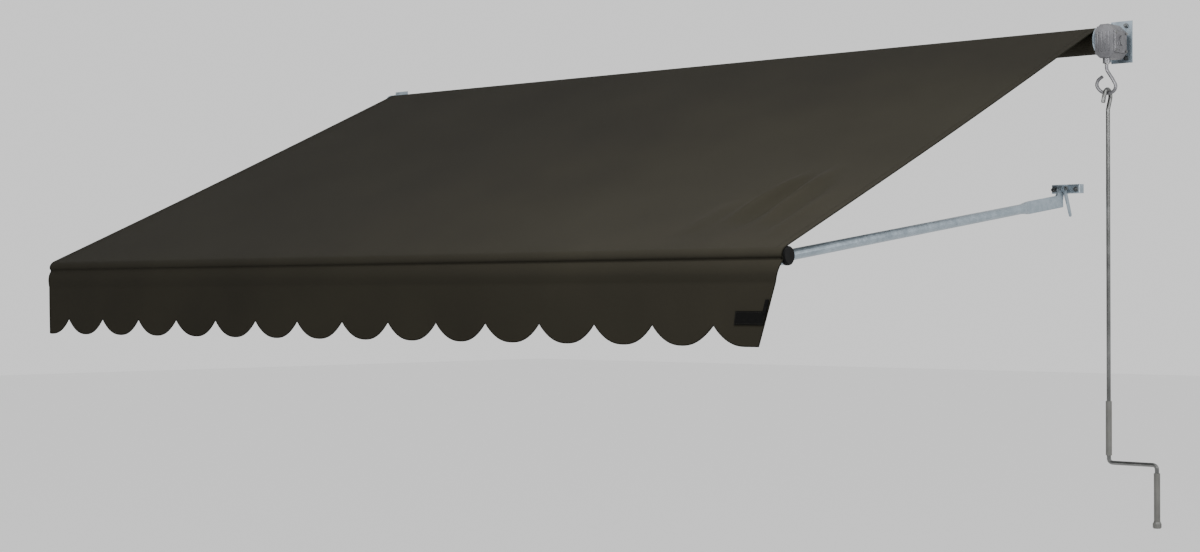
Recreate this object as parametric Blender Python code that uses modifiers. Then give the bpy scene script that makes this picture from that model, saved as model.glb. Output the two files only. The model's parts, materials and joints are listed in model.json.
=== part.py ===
"""Crank-operated drop-arm awning: roller, fabric, front bar, two arms and crank handle.

Metres, +Z up. The wall is the plane y = 0 and the awning reaches out along -Y.
X runs along the width. The origin is the wall face of the gear-side roller
bracket, at the height of the roller's axis.
"""
import math

import bmesh
import bpy
from mathutils import Matrix, Vector

# ---- driving dimensions -------------------------------------------------
FABRIC_WIDTH = 3.040
PROJECTION = 1.610            # wall to the front bar's axis
GAP = 0.0003                  # between pieces that touch
ROUND_STEPS = 32

ROLLER_Y = -0.070
ROLLER_R = 0.035
ROLLER_WALL = 0.0015
WRAP_R = 0.0385
SHAFT_R = 0.008
FABRIC_RIGHT = -0.036
FABRIC_LEFT = FABRIC_RIGHT - FABRIC_WIDTH
TUBE_OVERHANG = 0.0015
PLUG_LENGTH = 0.030

BAR_R = 0.0225
BAR_WALL = 0.0015
BAR_Y = -PROJECTION
BAR_Z = -0.6555
CANOPY_THICKNESS = 0.0024

VALANCE_Y = -1.6355
VALANCE_TOP = -0.668
VALANCE_CUSP = -0.823
SCALLOP_DEPTH = 0.050
SCALLOP_PITCH = 0.1946
FIRST_CUSP = 0.108            # from the left end
SCALLOP_COUNT = 14
VALANCE_SLANT = 0.069         # the right end is cut on a slant by this much

ARM_INSET = 0.138             # fabric's end to the arm's centre plane
ARM_R = 0.0145
ARM_WALL = 0.0015
ARM_SLOPE = math.atan(0.134)
ARM_AXIS_Z = -0.459           # height of the arm's axis where it meets the wall
ARM_LENGTH = 1.585            # along the axis, wall plane to the front pin
ARM_BLADE_START = 0.290
ARM_BLADE_FLAT = 0.245
ARM_BLADE_END = 0.047
BLADE_THICKNESS = 0.0066
BLADE_HEIGHT = 0.038

PIN_R = 0.004
PIVOT_Y = -0.050
PIVOT_Z = -0.428
EAR_R = 0.012
CHEEK_THICKNESS = 0.004
CHEEK_INNER = 0.0039
CROSSBAR_WIDTH = 0.094
CROSSBAR_HEIGHT = 0.027
CROSSBAR_DEPTH = 0.026
BOLT_SPACING = 0.074
LEVER_LENGTH = 0.085
LEVER_LEAN = math.radians(24)

GEAR_LEFT = -0.029
GEAR_RIGHT = 0.031
GEAR_FRONT = -0.112
GEAR_BACK = -0.038
GEAR_WALL = 0.004
WHEEL_R = 0.019
WHEEL_TEETH = 15
WORM_R = 0.0072
WORM_Y = ROLLER_Y - 0.0265
BOSS_BOTTOM = -0.070
PLATE_THICKNESS = 0.004
BRACKET_HALF_HEIGHT = 0.062

EYE_WIRE_R = 0.005
CRANK_R = 0.0062
CRANK_BEND_Z = -1.235
CRANK_OFFSET = 0.151
CRANK_BEND_R = 0.014
GRIP_R = 0.009
UPPER_GRIP = (-1.056, -1.214)
LOWER_GRIP = (-1.258, -1.396)
CAP_BOTTOM = -1.416

PARTS = None
CUTTERS = None


# ---- scene and materials ------------------------------------------------
def clear_scene():
    for obj in list(bpy.data.objects):
        bpy.data.objects.remove(obj, do_unlink=True)


def make_collection(name):
    collection = bpy.data.collections.new(name)
    bpy.context.scene.collection.children.link(collection)
    return collection


def material(name, colour, roughness, metallic=0.0):
    mat = bpy.data.materials.get(name)
    if mat:
        return mat
    mat = bpy.data.materials.new(name)
    mat.use_nodes = True
    shader = mat.node_tree.nodes["Principled BSDF"]
    shader.inputs["Base Color"].default_value = (*colour, 1.0)
    shader.inputs["Roughness"].default_value = roughness
    shader.inputs["Metallic"].default_value = metallic
    return mat


def galvanised():
    return material("galvanised_steel", (0.48, 0.52, 0.56), 0.40, 0.9)


def casting():
    return material("zinc_casting", (0.32, 0.32, 0.33), 0.50, 0.8)


def dark_steel():
    return material("dark_steel", (0.06, 0.06, 0.06), 0.45, 0.7)


def crank_steel():
    return material("plated_rod", (0.36, 0.36, 0.36), 0.35, 0.9)


def black_plastic():
    return material("black_plastic", (0.01, 0.01, 0.01), 0.45)


def grip_plastic():
    return material("grip_plastic", (0.09, 0.09, 0.085), 0.55)


def canvas():
    return material("charcoal_canvas", (0.040, 0.037, 0.031), 0.90)


# ---- shape helpers ------------------------------------------------------
def link(obj, mat=None, collection=None):
    (collection or PARTS).objects.link(obj)
    if mat:
        obj.data.materials.clear()
        obj.data.materials.append(mat)
    return obj


def as_cutter(obj):
    for collection in list(obj.users_collection):
        collection.objects.unlink(obj)
    CUTTERS.objects.link(obj)
    obj.hide_render = True
    obj.display_type = "WIRE"
    return obj


def smooth(obj, angle=35):
    obj.data.shade_smooth()
    obj.data.set_sharp_from_angle(angle=math.radians(angle))
    return obj


def mesh_object(name, bm, mat):
    mesh = bpy.data.meshes.new(name)
    bm.to_mesh(mesh)
    bm.free()
    return link(bpy.data.objects.new(name, mesh), mat)


def box(name, low, high, mat):
    low, high = Vector(low), Vector(high)
    bm = bmesh.new()
    bmesh.ops.create_cube(bm, size=1.0)
    bmesh.ops.scale(bm, vec=high - low, verts=bm.verts)
    bmesh.ops.translate(bm, vec=(low + high) / 2, verts=bm.verts)
    return mesh_object(name, bm, mat)


def axis_matrix(axis):
    """Turns +Z onto the named axis."""
    turns = {
        "X": Matrix.Rotation(math.radians(90), 4, "Y"),
        "Y": Matrix.Rotation(math.radians(-90), 4, "X"),
        "Z": Matrix.Identity(4),
    }
    return turns[axis]


def cylinder(name, radius, start, end, axis, mat, sides=ROUND_STEPS):
    """A cylinder along one axis; start holds its full centre, end the far coordinate."""
    start = Vector(start)
    index = "XYZ".index(axis)
    length = end - start[index]
    centre = start.copy()
    centre[index] += length / 2
    bm = bmesh.new()
    bmesh.ops.create_cone(bm, cap_ends=True, segments=sides, radius1=radius,
                          radius2=radius, depth=abs(length))
    bmesh.ops.transform(bm, matrix=Matrix.Translation(centre) @ axis_matrix(axis), verts=bm.verts)
    return smooth(mesh_object(name, bm, mat))


def turned(name, profile, centre, axis, mat, closed=False):
    """Spins (radius, height) points, given from top to bottom, about an axis."""
    mesh = bpy.data.meshes.new(name)
    count = len(profile)
    edges = [(i, i + 1) for i in range(count - 1)]
    if closed:
        edges.append((count - 1, 0))
    mesh.from_pydata([(r, 0, h) for r, h in profile], edges, [])
    obj = link(bpy.data.objects.new(name, mesh), mat)
    screw = obj.modifiers.new("turn", "SCREW")
    screw.steps = screw.render_steps = ROUND_STEPS
    screw.use_merge_vertices = True
    screw.merge_threshold = 0.00005
    obj.matrix_world = Matrix.Translation(centre) @ axis_matrix(axis)
    return smooth(bake(obj))


def ring(name, outer, inner, start, end, axis, mat):
    """A tube between two coordinates along its axis."""
    profile = [(outer, end - start["XYZ".index(axis)]), (outer, 0), (inner, 0),
               (inner, end - start["XYZ".index(axis)])]
    return turned(name, profile, start, axis, mat, closed=True)


def bake(obj):
    """Replaces an object by its evaluated mesh in world coordinates, with caps welded."""
    bpy.context.view_layer.update()
    depsgraph = bpy.context.evaluated_depsgraph_get()
    mesh = bpy.data.meshes.new_from_object(obj.evaluated_get(depsgraph), depsgraph=depsgraph)
    mesh.transform(obj.matrix_world)
    bm = bmesh.new()
    bm.from_mesh(mesh)
    bmesh.ops.remove_doubles(bm, verts=bm.verts, dist=0.00002)
    bmesh.ops.recalc_face_normals(bm, faces=bm.faces)
    bm.to_mesh(mesh)
    bm.free()
    name = obj.name
    mats = [slot.material for slot in obj.material_slots]
    bpy.data.objects.remove(obj, do_unlink=True)
    solid = link(bpy.data.objects.new(name, mesh))
    solid.data.name = name
    if mats and not solid.data.materials:
        solid.data.materials.append(mats[0])
    return solid


def plate(name, outline, centre, thickness, normal, mat):
    """A flat outline: (y, z) points when the normal is X, (x, z) points when it is Y."""
    curve = bpy.data.curves.new(name, "CURVE")
    curve.dimensions = "2D"
    curve.fill_mode = "BOTH"
    curve.extrude = thickness / 2
    spline = curve.splines.new("POLY")
    spline.points.add(len(outline) - 1)
    for point, (u, v) in zip(spline.points, outline):
        point.co = (u, v, 0, 1)
    spline.use_cyclic_u = True
    obj = link(bpy.data.objects.new(name, curve), mat)
    if normal == "X":
        turn = Matrix(((0, 0, 1, 0), (1, 0, 0, 0), (0, 1, 0, 0), (0, 0, 0, 1)))
        obj.matrix_world = Matrix.Translation((centre, 0, 0)) @ turn
    else:
        turn = Matrix.Rotation(math.radians(90), 4, "X")
        obj.matrix_world = Matrix.Translation((0, centre, 0)) @ turn
    return bake(obj)


def wire(name, points, radius, mat):
    curve = bpy.data.curves.new(name, "CURVE")
    curve.dimensions = "3D"
    curve.bevel_depth = radius
    curve.bevel_resolution = 4
    curve.use_fill_caps = True
    spline = curve.splines.new("POLY")
    spline.points.add(len(points) - 1)
    for point, co in zip(spline.points, points):
        point.co = (*co, 1)
    return smooth(bake(link(bpy.data.objects.new(name, curve), mat)), 50)


def boolean(obj, other, operation):
    modifier = obj.modifiers.new(operation.lower(), "BOOLEAN")
    modifier.operation = operation
    modifier.solver = "EXACT"
    modifier.object = as_cutter(other)
    return obj


def cut(obj, other):
    return boolean(obj, other, "DIFFERENCE")


def join(obj, other):
    return boolean(obj, other, "UNION")


def arc(centre, radius, start_deg, end_deg, steps):
    points = []
    for i in range(steps + 1):
        angle = math.radians(start_deg + (end_deg - start_deg) * i / steps)
        points.append((centre[0] + radius * math.cos(angle), centre[1] + radius * math.sin(angle)))
    return points


def rounded_path(corners, radius, steps=5):
    """Straight runs between 3-D points, joined by fillets."""
    corners = [Vector(c) for c in corners]
    path = [corners[0]]
    for before, corner, after in zip(corners, corners[1:], corners[2:]):
        first = (before - corner).normalized()
        second = (after - corner).normalized()
        half = first.angle(second) / 2
        reach = min(radius / math.tan(half), 0.48 * min((before - corner).length,
                                                       (after - corner).length))
        start, end = corner + first * reach, corner + second * reach
        for i in range(steps + 1):
            t = i / steps
            path.append((1 - t) ** 2 * start + 2 * t * (1 - t) * corner + t ** 2 * end)
    path.append(corners[-1])
    return path


def smooth_path(points, per_span):
    """A Catmull-Rom curve through 3-D points."""
    points = [Vector(p) for p in points]
    padded = [2 * points[0] - points[1]] + points + [2 * points[-1] - points[-2]]
    path = []
    for a, b, c, d in zip(padded, padded[1:], padded[2:], padded[3:]):
        for i in range(per_span):
            t = i / per_span
            path.append(0.5 * (2 * b + (c - a) * t + (2 * a - 5 * b + 4 * c - d) * t ** 2
                               + (3 * b - a - 3 * c + d) * t ** 3))
    path.append(points[-1])
    return path


def pivot_empty(name, location):
    empty = bpy.data.objects.new(name, None)
    PARTS.objects.link(empty)
    empty.location = location
    bpy.context.view_layer.update()
    return empty


def hang(objects, empty):
    """Parents pieces to the empty on their joint's axis, without moving them."""
    bpy.context.view_layer.update()
    for obj in objects:
        obj.parent = empty
        obj.matrix_parent_inverse = empty.matrix_world.inverted()


# ---- roller and its brackets --------------------------------------------
def hex_bolt(name, x, z, front, mat):
    """A hex-head screw through a plate, cut off at the wall's face."""
    head = cylinder(name, 0.0075, (x, front - GAP, z), front - GAP - 0.006, "Y", mat, sides=6)
    shank = cylinder(name + "_shank", PIN_R, (x, -GAP, z), front - 0.003, "Y", mat, sides=16)
    tip = cylinder(name + "_tip", 0.0045, (x, front - 0.005, z), front - 0.013, "Y", mat, sides=16)
    join(head, tip)
    return join(head, shank)


def roller_bracket(side):
    """Wall plate and side cheek in one piece; side is +1 at the gear end, -1 at the idler end."""
    name = "roller_bracket_right" if side > 0 else "roller_bracket_left"
    inner = FABRIC_RIGHT + 0.0025 if side > 0 else FABRIC_LEFT - 0.0025
    outer = inner + side * 0.0675
    low_x, high_x = sorted((inner, outer))
    bracket = box(name, (low_x, -PLATE_THICKNESS, -BRACKET_HALF_HEIGHT),
                  (high_x, 0, BRACKET_HALF_HEIGHT), galvanised())
    cheek_outline = [(-0.001, 0.058), (-0.001, -0.058), (-0.080, -0.040)]
    cheek_outline += arc((-0.080, 0), 0.040, 270, 90, 12)[1:]
    cheek = plate(name + "_cheek", cheek_outline, inner + side * 0.002, 0.004, "X", galvanised())
    join(bracket, cheek)
    hole = cylinder(name + "_bore", SHAFT_R + 0.0004, (inner - 0.01, ROLLER_Y, 0), inner + 0.01, "X", None)
    cut(bracket, hole)
    bolt_x = inner + side * 0.050
    for place, z in (("lower", -0.048), ("upper", 0.048)):
        cut(bracket, cylinder(name + "_hole", PIN_R + 0.0004, (bolt_x, 0.01, z), -0.02, "Y", None, 16))
        hex_bolt(name.replace("bracket", "bolt") + "_" + place, bolt_x, z, -PLATE_THICKNESS, dark_steel())
    return bracket


def roller():
    left, right = FABRIC_LEFT - TUBE_OVERHANG, FABRIC_RIGHT + TUBE_OVERHANG
    tube = ring("roller_tube", ROLLER_R, ROLLER_R - ROLLER_WALL, Vector((left, ROLLER_Y, 0)),
                right, "X", galvanised())
    wraps = ring("fabric_wraps", WRAP_R, ROLLER_R + GAP, Vector((FABRIC_LEFT, ROLLER_Y, 0)),
                 FABRIC_RIGHT, "X", canvas())
    plug_r = ROLLER_R - ROLLER_WALL - GAP
    drive_plug = ring("drive_plug", plug_r, SHAFT_R + GAP, Vector((right - PLUG_LENGTH, ROLLER_Y, 0)),
                      right - 0.001, "X", black_plastic())
    idler_plug = ring("idler_plug", plug_r, SHAFT_R + 0.0004, Vector((left + 0.001, ROLLER_Y, 0)),
                      left + PLUG_LENGTH, "X", black_plastic())
    shaft = cylinder("drive_shaft", SHAFT_R, (right - PLUG_LENGTH - 0.004, ROLLER_Y, 0),
                     GEAR_RIGHT - 0.006, "X", crank_steel())
    idler_x = FABRIC_LEFT - 0.0025 - PLATE_THICKNESS
    pin = cylinder("idler_pin", SHAFT_R, (idler_x - 0.006, ROLLER_Y, 0),
                   left + PLUG_LENGTH - 0.002, "X", crank_steel())
    join(pin, cylinder("idler_head", 0.013, (idler_x - GAP, ROLLER_Y, 0), idler_x - 0.007, "X", None))
    empty = pivot_empty("roller_axis", (0, ROLLER_Y, 0))
    hang([tube, wraps, drive_plug, idler_plug, shaft, worm_wheel()], empty)


def worm_wheel():
    """A spur-cut wheel on the drive shaft."""
    outline = []
    for tooth in range(WHEEL_TEETH):
        for share, radius in ((0.0, WHEEL_R), (0.28, WHEEL_R), (0.46, WHEEL_R - 0.003),
                              (0.82, WHEEL_R - 0.003)):
            angle = 2 * math.pi * (tooth + share) / WHEEL_TEETH
            outline.append((ROLLER_Y + radius * math.cos(angle), radius * math.sin(angle)))
    wheel = plate("worm_wheel", outline, 0, 0.014, "X", casting())
    return cut(wheel, cylinder("wheel_bore", SHAFT_R + GAP, (-0.02, ROLLER_Y, 0), 0.02, "X", None))


# ---- gearbox, eye and crank ---------------------------------------------
def gearbox():
    outline = [(GEAR_LEFT, 0.028), (-0.012, 0.044), (0.013, 0.044), (GEAR_RIGHT, 0.026),
               (GEAR_RIGHT, -0.042), (0.019, -0.055), (-0.013, -0.055), (GEAR_LEFT, -0.041)]
    depth = GEAR_BACK - GEAR_FRONT
    housing = plate("gearbox_housing", outline, (GEAR_FRONT + GEAR_BACK) / 2, depth, "Y", casting())
    for index, y in enumerate((-0.100, -0.075, -0.050)):
        rib = box("rib%d" % index, (-0.0285, y - 0.002, -0.0405), (-0.012, y + 0.002, 0.0395), None)
        join(housing, rib)
    join(housing, cylinder("boss", 0.011, (0, WORM_Y, -0.052), BOSS_BOTTOM, "Z", None, 24))
    cut(housing, box("cavity", (GEAR_LEFT + GEAR_WALL, GEAR_FRONT + GEAR_WALL, -0.038),
                     (GEAR_RIGHT + 0.01, GEAR_BACK - GEAR_WALL, 0.022), None))
    cut(housing, cylinder("worm_hole", 0.0064, (0, WORM_Y, -0.030), -0.080, "Z", None, 24))
    cut(housing, cylinder("shaft_hole", SHAFT_R + 0.0004, (GEAR_LEFT - 0.01, ROLLER_Y, 0),
                          -0.010, "X", None))
    outer = GEAR_RIGHT + GAP
    cover = box("gearbox_cover", (outer, GEAR_FRONT + 0.001, -0.040),
                (outer + 0.004, GEAR_BACK - 0.001, 0.024), casting())
    bevel = cover.modifiers.new("edge", "BEVEL")
    bevel.width = 0.0012
    bevel.segments = 2
    boss = cylinder("cover_boss", 0.015, (outer + 0.003, ROLLER_Y, -0.004), outer + 0.007, "X", None)
    join(cover, boss)
    top = outer + 0.004 + GAP
    for row, z in (("lower", -0.034), ("upper", 0.018)):
        for column, y in (("front", GEAR_FRONT + 0.006), ("back", GEAR_BACK - 0.006)):
            cylinder("gearbox_screw_%s_%s" % (row, column), 0.0042, (top, y, z), top + 0.0025, "X",
                     crank_steel(), 16)


def worm_and_eye():
    """The vertical worm shaft, and the eye screwed on below the boss."""
    turns = 6
    top, bottom = 0.018, -0.032
    pitch = (top - bottom) / turns
    profile = [(0, top + 0.002), (0.006, top + 0.002)]
    for i in range(turns):
        z = top - i * pitch
        profile += [(0.0045, z), (0.0045, z - 0.3 * pitch), (WORM_R, z - 0.45 * pitch),
                    (WORM_R, z - 0.85 * pitch)]
    profile += [(0.006, bottom), (0.006, BOSS_BOTTOM - 0.003), (0, BOSS_BOTTOM - 0.003)]
    worm = turned("worm_shaft", profile, (0, WORM_Y, 0), "Z", crank_steel())
    eye_top = BOSS_BOTTOM - 0.003 - GAP
    shape = [(0, eye_top), (0.001, -0.088), (0.009, -0.102), (0.021, -0.120), (0.029, -0.138),
             (0.022, -0.153), (0.003, -0.1580), (-0.018, -0.151), (-0.031, -0.134),
             (-0.027, -0.118), (-0.013, -0.108)]
    eye = wire("eye_loop", smooth_path([(x, WORM_Y, z) for x, z in shape], 4), EYE_WIRE_R, casting())
    return [worm, eye]


def crank():
    hook = [(-0.027, -0.186), (-0.021, -0.168), (-0.013, -0.152), (0, -0.1461), (0.013, -0.152),
            (0.017, -0.168), (0.010, -0.186), (0.002, -0.205)]
    hook_x = 0.003
    path = smooth_path([(hook_x, WORM_Y + y, z) for y, z in hook], 3)
    foot = path.pop()
    end_x = hook_x + CRANK_OFFSET
    corners = [foot, (hook_x, foot.y, CRANK_BEND_Z), (end_x, foot.y, CRANK_BEND_Z),
               (end_x, foot.y, LOWER_GRIP[1] - 0.004)]
    path += rounded_path(corners, CRANK_BEND_R)
    rod = wire("crank_rod", path, CRANK_R, crank_steel())
    sleeve = CRANK_R + 0.0004
    upper = ring("upper_grip", GRIP_R, sleeve, Vector((hook_x, foot.y, UPPER_GRIP[1])),
                 UPPER_GRIP[0], "Z", grip_plastic())
    lower = ring("lower_grip", GRIP_R, sleeve, Vector((end_x, foot.y, LOWER_GRIP[1])),
                 LOWER_GRIP[0], "Z", grip_plastic())
    top = LOWER_GRIP[1] - GAP
    cap_profile = [(0, top - 0.008), (CRANK_R + GAP, top - 0.008), (CRANK_R + GAP, top),
                   (0.0095, top), (0.0125, top - 0.006), (0.0125, CAP_BOTTOM + 0.003),
                   (0.0100, CAP_BOTTOM), (0, CAP_BOTTOM)]
    cap = turned("grip_cap", cap_profile, (end_x, foot.y, 0), "Z", grip_plastic())
    hang([upper], pivot_empty("upper_grip_axis", (hook_x, foot.y, CRANK_BEND_Z)))
    hang([lower], pivot_empty("lower_grip_axis", (end_x, foot.y, CRANK_BEND_Z)))
    hang(worm_and_eye() + [rod, cap], pivot_empty("worm_axis", (0, WORM_Y, 0)))


# ---- arms and their wall brackets ---------------------------------------
def arm_section(y, half_x, half_z, exponent, sides=24):
    points = []
    for i in range(sides):
        angle = 2 * math.pi * i / sides
        c, s = math.cos(angle), math.sin(angle)
        x = half_x * math.copysign(abs(c) ** (2 / exponent), c)
        z = half_z * math.copysign(abs(s) ** (2 / exponent), s)
        points.append(Vector((x, y, z)))
    return points


def arm(side, x):
    """A steel tube pressed flat at its wall end, with an ear up to the pivot pin."""
    name = "arm_right" if side > 0 else "arm_left"
    inner = ARM_R - ARM_WALL
    front = -ARM_LENGTH + 0.030
    sections = [arm_section(-ARM_BLADE_START - 0.02, inner, inner, 2),
                arm_section(front, inner, inner, 2), arm_section(front, ARM_R, ARM_R, 2),
                arm_section(-ARM_BLADE_START, ARM_R, ARM_R, 2)]
    steps = 4
    for i in range(1, steps + 1):
        t = i / steps
        ease = t * t * (3 - 2 * t)
        y = -ARM_BLADE_START + (ARM_BLADE_START - ARM_BLADE_FLAT) * t
        half_x = ARM_R + (BLADE_THICKNESS / 2 - ARM_R) * ease
        half_z = ARM_R + (BLADE_HEIGHT / 2 - ARM_R) * ease
        sections.append(arm_section(y, half_x, half_z, 2 + 4 * ease))
    sections.append(arm_section(-ARM_BLADE_END, BLADE_THICKNESS / 2, BLADE_HEIGHT / 2, 6))
    bm = bmesh.new()
    rings = [[bm.verts.new(p) for p in section] for section in sections]
    for ring_a, ring_b in zip(rings, rings[1:]):
        for i in range(len(ring_a)):
            j = (i + 1) % len(ring_a)
            bm.faces.new((ring_a[i], ring_a[j], ring_b[j], ring_b[i]))
    bm.faces.new(rings[0])
    bm.faces.new(rings[-1])
    bmesh.ops.recalc_face_normals(bm, faces=bm.faces)
    place = Matrix.Translation((x, 0, ARM_AXIS_Z)) @ Matrix.Rotation(ARM_SLOPE, 4, "X")
    bmesh.ops.transform(bm, matrix=place, verts=bm.verts)
    tube = smooth(mesh_object(name, bm, galvanised()))
    blade_end = place @ Vector((0, -ARM_BLADE_END, 0))
    low_back = place @ Vector((0, -ARM_BLADE_END, -0.015))
    low_front = place @ Vector((0, -0.100, -0.015))
    top_front = place @ Vector((0, -0.085, 0.015))
    outline = [(low_front.y, low_front.z), (low_back.y, low_back.z), (blade_end.y + 0.001, blade_end.z)]
    outline += arc((PIVOT_Y, PIVOT_Z), EAR_R, -10, 190, 12)
    outline += [(top_front.y, top_front.z)]
    join(tube, plate(name + "_ear", outline, x, BLADE_THICKNESS - 0.0004, "X", None))
    cut(tube, cylinder(name + "_eye", PIN_R + 0.0004, (x - 0.02, PIVOT_Y, PIVOT_Z), x + 0.02, "X", None))
    return tube, place


def arm_end(side, x, place):
    """The cast tongue plugged into the arm's front end."""
    name = "arm_end_right" if side > 0 else "arm_end_left"
    pin = place @ Vector((0, -ARM_LENGTH, 0))
    plug = cylinder(name, ARM_R - ARM_WALL - GAP, (0, -ARM_LENGTH + 0.024, 0),
                    -ARM_LENGTH + 0.070, "Y", casting(), 24)
    plug.matrix_world = place
    plug = bake(plug)
    collar = cylinder(name + "_collar", ARM_R, (0, -ARM_LENGTH + 0.0185, 0),
                      -ARM_LENGTH + 0.030 - GAP, "Y", None, 24)
    collar.matrix_world = place
    join(plug, bake(collar))
    tongue = list(arc((0, 0), 0.011, 120, 300, 10))
    outline = []
    for u, v in tongue + [(0.026, -0.009), (0.026, 0.009)]:
        point = place @ Vector((0, -ARM_LENGTH + u, v))
        outline.append((point.y, point.z))
    join(plug, plate(name + "_tongue", outline, x, 0.010, "X", None))
    cut(plug, cylinder(name + "_eye", PIN_R + 0.0004, (x - 0.02, pin.y, pin.z), x + 0.02, "X", None))
    return plug, pin


def bar_lug(side, x, pin):
    """Saddle clamped on the back of the front bar, with two ears for the arm's pin."""
    name = "bar_lug_right" if side > 0 else "bar_lug_left"
    centre = Vector((BAR_Y, BAR_Z))
    outward = (Vector((pin.y, pin.z)) - centre).normalized()
    across = Vector((-outward.y, outward.x))

    def at(along, sideways):
        point = centre + outward * along + across * sideways
        return (point.x, point.y)

    reach = (Vector((pin.y, pin.z)) - centre).length
    saddle_outline = [at(0.004, -0.015), at(0.0285, -0.015), at(0.0285, 0.015), at(0.004, 0.015)]
    lug = plate(name, saddle_outline, x, 0.044, "X", casting())
    for direction in (-1, 1):
        ear_outline = [at(0.010, 0.012), at(0.010, -0.012), at(reach, -0.011)]
        turn = math.degrees(math.atan2(outward.y, outward.x))
        ear_outline += arc((pin.y, pin.z), 0.011, turn - 90, turn + 90, 10)
        ear = plate(name + "_ear", ear_outline, x + direction * 0.0075, CHEEK_THICKNESS, "X", None)
        join(lug, ear)
    cut(lug, cylinder(name + "_seat", BAR_R + GAP, (x - 0.05, BAR_Y, BAR_Z), x + 0.05, "X", None, 64))
    cut(lug, cylinder(name + "_eye", PIN_R + GAP, (x - 0.03, pin.y, pin.z), x + 0.03, "X", None))
    return lug


def headed_pin(name, x, side, y, z, inner, outer, mat):
    """A pin along X with a head beyond its inner end."""
    pin = cylinder(name, PIN_R, (x - side * (inner + 0.002), y, z), x + side * outer, "X", mat)
    head = cylinder(name + "_head", 0.0072, (x - side * (inner + GAP), y, z),
                    x - side * (inner + 0.0052), "X", None, 24)
    return join(pin, head)


def hex_nut(name, x, side, y, z, inner, mat):
    nut = cylinder(name, 0.0075, (x + side * inner, y, z), x + side * (inner + 0.0065), "X", mat, 6)
    return cut(nut, cylinder(name + "_bore", PIN_R + GAP, (x - 0.05, y, z), x + 0.05, "X", None))


def arm_bracket(side, x):
    """Crossbar on the wall with a central slot and two cheeks that carry the pivot pin."""
    name = "arm_bracket_right" if side > 0 else "arm_bracket_left"
    half = CROSSBAR_HEIGHT / 2
    bar = box(name, (x - CROSSBAR_WIDTH / 2, -CROSSBAR_DEPTH, PIVOT_Z - half),
              (x + CROSSBAR_WIDTH / 2, 0, PIVOT_Z + half), galvanised())
    bevel = bar.modifiers.new("edge", "BEVEL")
    bevel.width = 0.004
    bevel.segments = 3
    bevel.limit_method = "WEIGHT"
    weights = bar.data.attributes.new("bevel_weight_edge", "FLOAT", "EDGE")
    for edge in bar.data.edges:
        ends = [bar.data.vertices[i].co for i in edge.vertices]
        if all(co.y < -CROSSBAR_DEPTH / 2 for co in ends):
            weights.data[edge.index].value = 1.0
    cheek_outline = [(-0.012, PIVOT_Z + half - 0.001), (-0.012, PIVOT_Z - half + 0.001)]
    cheek_outline += arc((PIVOT_Y, PIVOT_Z), EAR_R, 270, 90, 12)
    for direction in (-1, 1):
        centre = x + direction * (CHEEK_INNER + CHEEK_THICKNESS / 2)
        join(bar, plate(name + "_cheek", cheek_outline, centre, CHEEK_THICKNESS, "X", None))
    cut(bar, box(name + "_slot", (x - CHEEK_INNER, -0.1, PIVOT_Z - 0.05),
                 (x + CHEEK_INNER, -0.008, PIVOT_Z + 0.05), None))
    cut(bar, cylinder(name + "_eye", PIN_R + GAP, (x - 0.03, PIVOT_Y, PIVOT_Z), x + 0.03, "X", None))
    for place, direction in (("inner", -side), ("outer", side)):
        bolt_x = x + direction * BOLT_SPACING / 2
        cut(bar, cylinder(name + "_hole", PIN_R + 0.0004, (bolt_x, 0.01, PIVOT_Z - 0.002), -0.05,
                          "Y", None, 16))
        hex_bolt(name.replace("bracket", "bolt") + "_" + place, bolt_x, PIVOT_Z - 0.002,
                 -CROSSBAR_DEPTH, dark_steel())
    return bar


def clamp_lever(side, x):
    """Flat lever on the pivot pin, outside the cheek, hanging towards the wall."""
    name = "clamp_lever_right" if side > 0 else "clamp_lever_left"
    tip = (PIVOT_Y + LEVER_LENGTH * math.sin(LEVER_LEAN), PIVOT_Z - LEVER_LENGTH * math.cos(LEVER_LEAN))
    lean = math.degrees(LEVER_LEAN)
    outline = arc((PIVOT_Y, PIVOT_Z), 0.0085, lean, lean + 180, 10)
    outline += arc(tip, 0.006, lean + 180, lean + 360, 8)
    centre = x + side * 0.0102
    lever = plate(name, outline, centre, 0.0036, "X", galvanised())
    cut(lever, cylinder(name + "_eye", PIN_R + 0.0004, (x - 0.03, PIVOT_Y, PIVOT_Z), x + 0.03, "X", None))
    return lever


def arm_assembly(side, axis_empty, front_empty, lever_empty):
    label = "right" if side > 0 else "left"
    x = FABRIC_RIGHT - ARM_INSET if side > 0 else FABRIC_LEFT + ARM_INSET
    arm_bracket(side, x)
    tube, place = arm(side, x)
    end, pin = arm_end(side, x, place)
    lug = bar_lug(side, x, pin)
    front_pin = headed_pin("front_pin_" + label, x, side, pin.y, pin.z, 0.0095, 0.0175, dark_steel())
    front_nut = hex_nut("front_nut_" + label, x, side, pin.y, pin.z, 0.0098, dark_steel())
    headed_pin("pivot_pin_" + label, x, side, PIVOT_Y, PIVOT_Z, 0.0079, 0.0200, dark_steel())
    hex_nut("pivot_nut_" + label, x, side, PIVOT_Y, PIVOT_Z, 0.0123, dark_steel())
    hang([tube, end], axis_empty)
    hang([lug, front_pin, front_nut], front_empty)
    hang([clamp_lever(side, x)], lever_empty)


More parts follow.
